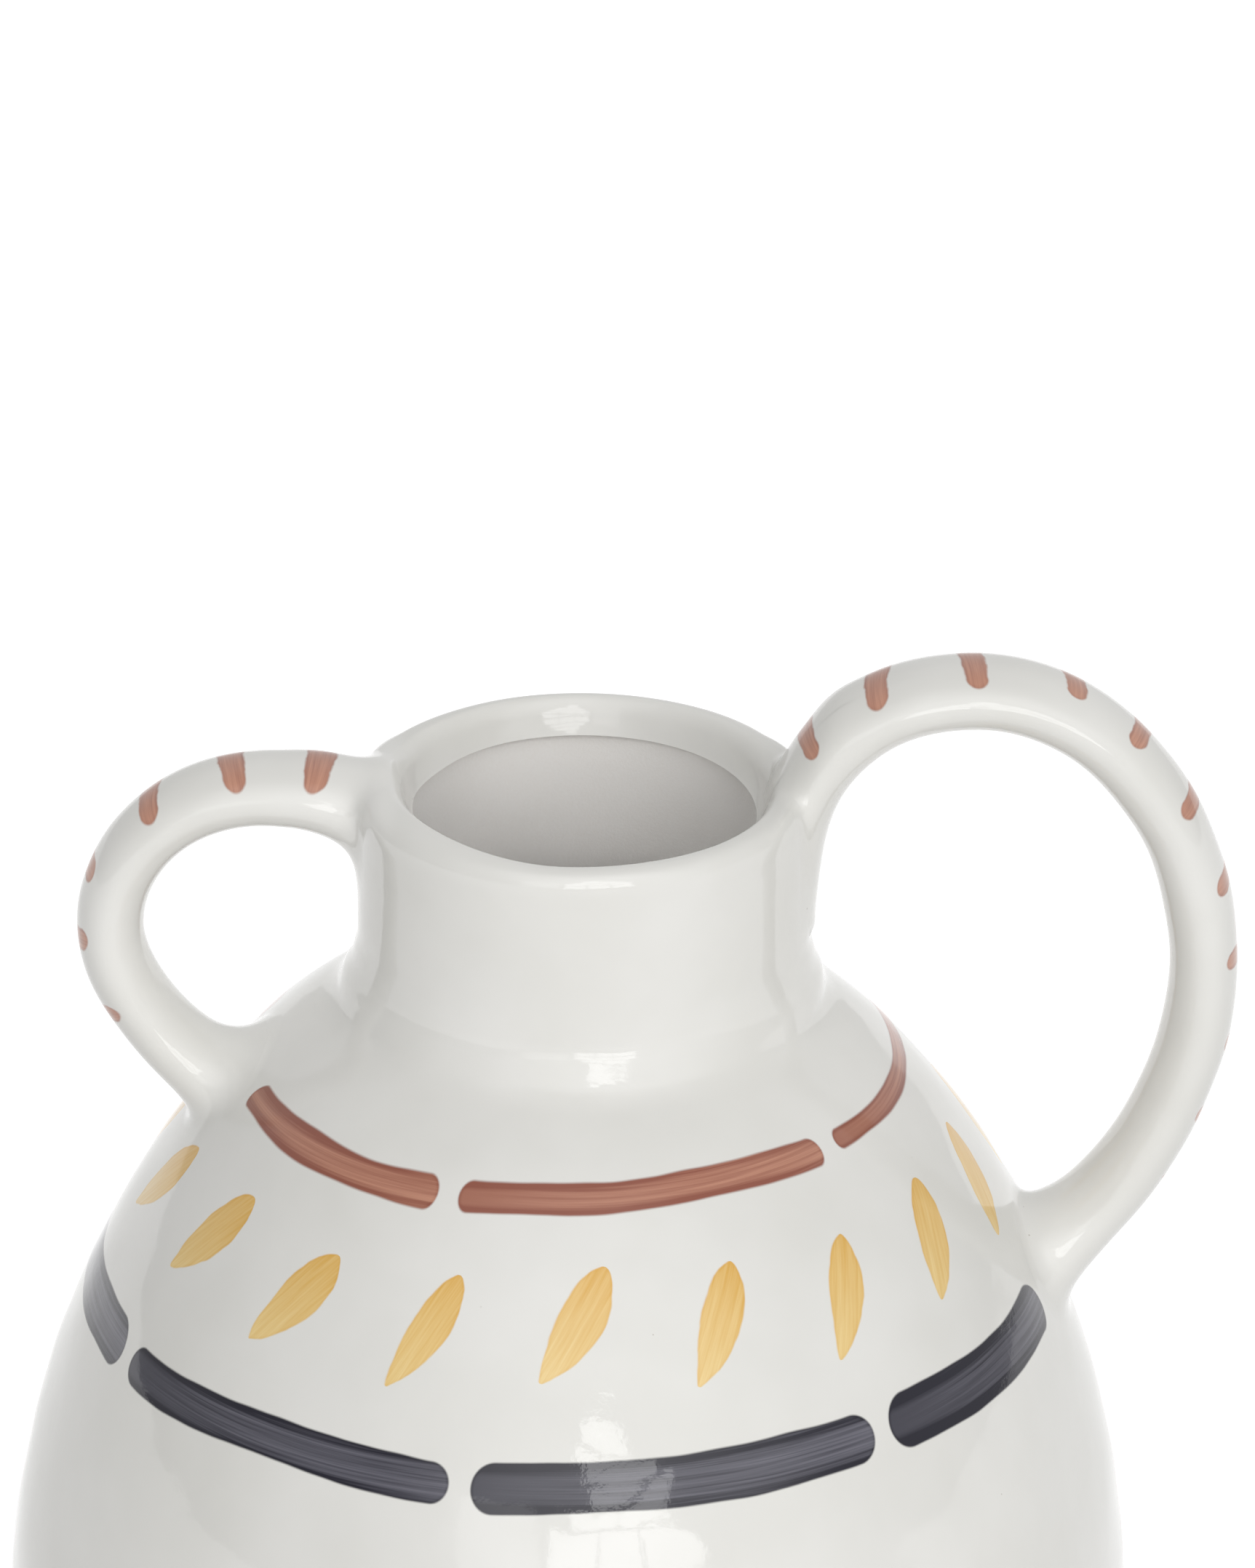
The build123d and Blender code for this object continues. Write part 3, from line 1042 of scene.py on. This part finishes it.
def handle_piece(name, plan, material):
    """A handle whose ends run out on the body. Its points know how far along and on which side of
    the handle they are."""
    tube = Tube(plan)
    turn = np.arange(tube_segments) * 2 * pi / tube_segments
    half = tube.length / 2
    start = landing(tube, turn, np.linspace(half, 0, landing_steps))
    end = landing(tube, turn, np.linspace(half, tube.length, landing_steps))
    share = np.linspace(-1, 1, tube_rings)
    share = even_share * share + bunch_share * np.sin(share * pi / 2) ** 3
    share = (share - share[0]) / (share[-1] - share[0])
    marks = start + share[:, None] * (end - start)
    tube_grid = tube.surface_at(*np.broadcast_arrays(marks, turn))
    low = skirt(tube, tube_grid[0])
    high = skirt(tube, tube_grid[-1])
    rings = np.array(low[::-1] + list(tube_grid) + high)
    count = len(rings)
    along = np.pad(marks, ((skirt_rings, skirt_rings), (0, 0)), "edge")
    points = settle_on_melt(tube, rings.reshape(-1, 3))
    grid = points.reshape(count, tube_segments, 3)
    caps = []
    for ring in (grid[0], grid[-1]):
        middle = ring.mean(0)
        distance, normal, _ = body_field(middle[None])
        caps.append(middle - normal[0] * (distance[0] + cap_depth))
    points = settle(np.vstack((points, caps)))
    faces = ring_faces(count - 1, count, tube_segments)
    last = (count - 1) * tube_segments
    for i in range(tube_segments):
        j = (i + 1) % tube_segments
        faces.append((j, i, count * tube_segments))
        faces.append((last + i, last + j, count * tube_segments + 1))
    piece = add_mesh(name, points, faces)
    mesh = piece.data
    back = np.repeat(np.sin(turn)[None], count, axis=0)
    for label, values in (("along", along), ("back", back)):
        column = np.concatenate((values.reshape(-1), (0, 0))).astype(np.float32)
        mesh.attributes.new(label, "FLOAT", "POINT").data.foreach_set("value", column)
    finish_mesh(mesh, [material], tube_segments, (0, count - 1))
    return piece


pieces = body_pieces(body_glaze(), inside_slip(), bare_clay())
small_glaze = handle_glaze("small_handle_glaze", first=18, last=118, gap=17)
large_glaze = handle_glaze("large_handle_glaze", first=34, last=232, gap=19)
pieces["small_handle"] = handle_piece("handle_small", small, small_glaze)
pieces["large_handle"] = handle_piece("handle_large", large, large_glaze)
for node, piece in pieces.items():
    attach(piece, "root")
    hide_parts(node)
    "bare_clay" if node == "foot_ring" else "glaze"


# Floor, light and camera, in metres and degrees, with glows as shares of white
floor_half = 14.0
floor_grey = (0.6, 0.6, 0.6, 1)
floor_glow = 0.75  # added where the floor is seen, without lighting anything
room_glow = 0.44
ceiling_glow = 0.1
ceiling_edge = (0.78, 0.99)  # sines of the elevations between which the ceiling begins

# Broad patches of brighter or darker wall: azimuth, elevation and half width in degrees, and glow
room_patches = (
    (14, 12, 52, 0.86), (0, 42, 42, 0.62), (75, 30, 50, 0.1), (-50, 28, 50, -0.13), (180, 25, 75, 0.45),
)
patch_core = 0.35  # share of the half width that has the full glow

# Rows of the window's panes: lowest and highest elevation, left and right azimuth, panes
window_rows = (
    (-1, 8.5, -4.5, 26.5, 3), (9, 15.5, -4.5, 26.5, 3), (16, 20, -0.5, 23, 2), (20.5, 24, 3.5, 19, 2),
    (24.5, 30.5, 5.5, 11.5, 2),
)
window_distance = 2.4
window_brightness = 3.2
pane_width = 0.46  # half a pane, as a share of its place in the row
pane_height = 0.47

lamp_target = Vector((0, 0, 0.25))
camera_target = Vector((0.0123, 0, 0.3443))
camera_distance = 1.605
camera_tilt = 24.0
camera_lens = 157.7
camera_sensor = 36.0


def seen_directly(tree):
    """1 for rays from the camera, off a glossy surface or through glass, and 0 for scattered light."""
    path = add_node(tree, "LightPath", {})
    names = ("Is Camera Ray", "Is Glossy Ray", "Is Transmission Ray")
    camera, glossy, through = (Wire(tree, path.outputs[name]) for name in names)
    return camera.high(glossy).high(through)


def add_floor():
    """A pale floor that takes the jar's shadow and looks white."""
    mesh = bpy.data.meshes.new("studio_floor")
    corners = [(x * floor_half, y * floor_half, 0) for x, y in ((-1, -1), (1, -1), (1, 1), (-1, 1))]
    mesh.from_pydata(corners, [], [(0, 1, 2, 3)])
    floor = add_object("studio_floor", mesh)
    material = bpy.data.materials.new("studio_white")
    material.use_nodes = True
    tree = material.node_tree
    tree.nodes.clear()
    diffuse = add_node(tree, "BsdfDiffuse", {"Color": floor_grey})
    glow = add_node(tree, "Emission", {"Strength": seen_directly(tree) * floor_glow})
    layers = (Wire(tree, node.outputs[0]) for node in (diffuse, glow))
    both = add_node(tree, "AddShader", dict(enumerate(layers)))
    add_node(tree, "OutputMaterial", {"Surface": Wire(tree, both.outputs[0])})
    mesh.materials.append(material)


def way_to(azimuth, elevation):
    """Direction from the jar, by degrees to the camera's right and above the horizon."""
    a, e = radians(azimuth), radians(elevation)
    return Vector((sin(a) * cos(e), -cos(a) * cos(e), sin(e)))


def add_world():
    """A pale room with a dark ceiling, brighter in front and behind than on the left; white where
    the camera looks past the floor."""
    world = bpy.data.worlds.new("studio")
    bpy.context.scene.world = world
    world.use_nodes = True
    tree = world.node_tree
    ground = tree.nodes["Background"]
    camera = Wire(tree, add_node(tree, "LightPath", {}).outputs["Is Camera Ray"])
    sight = Wire(tree, add_node(tree, "TexCoord", {}).outputs["Generated"])
    split = add_node(tree, "SeparateXYZ", {0: sight})
    x, y, z = (Wire(tree, socket) for socket in split.outputs)
    glow = room_glow - z.step(*ceiling_edge, room_glow - ceiling_glow)
    for azimuth, elevation, wide, strength in room_patches:
        way = way_to(azimuth, elevation)
        facing = x * way.x + y * way.y + z * way.z
        glow = glow + facing.step(cos(radians(wide)), cos(radians(wide * patch_core)), strength)
    ground.inputs["Color"].default_value = (1, 1, 1, 1)
    feed(tree, ground.inputs["Strength"], glow.high(0.0).high(camera))


def add_lamp(name, azimuth, elevation, distance, width, height, brightness):
    """A flat lamp that faces the jar, as bright as its brightness times white."""
    data = bpy.data.lights.new(name, "AREA")
    data.shape = "RECTANGLE"
    data.size = width
    data.size_y = height
    data.energy = brightness * pi * width * height
    lamp = add_object(name, data)
    way = way_to(azimuth, elevation)
    lamp.location = lamp_target + distance * way
    lamp.rotation_euler = (-way).to_track_quat("-Z", "Y").to_euler()


def add_window():
    """A window of panes behind the camera, narrower at its top, whose image shows on the glaze."""
    for i, (low, high, left, right, columns) in enumerate(window_rows):
        wide = (right - left) / columns
        for j in range(columns):
            add_lamp(
                f"pane_{i}_{j}",
                azimuth=left + wide * (j + 0.5),
                elevation=(low + high) / 2,
                distance=window_distance,
                width=2 * window_distance * tan(radians(wide * pane_width)),
                height=2 * window_distance * tan(radians((high - low) * pane_height)),
                brightness=window_brightness,
            )


def add_camera():
    tilt = radians(camera_tilt)
    data = bpy.data.cameras.new("camera")
    data.sensor_fit = "AUTO"
    data.sensor_width = camera_sensor
    data.lens = camera_lens
    camera = add_object("camera", data)
    camera.location = camera_target + camera_distance * Vector((0, -cos(tilt), sin(tilt)))
    camera.rotation_euler = (radians(90) - tilt, 0, 0)
    bpy.context.scene.camera = camera


add_floor()
add_world()
add_window()
add_lamp("pale_panel", azimuth=-15, elevation=10, distance=2.4, width=0.67, height=0.75, brightness=0.9)
add_camera()
bpy.context.scene.view_settings.view_transform = "Standard"
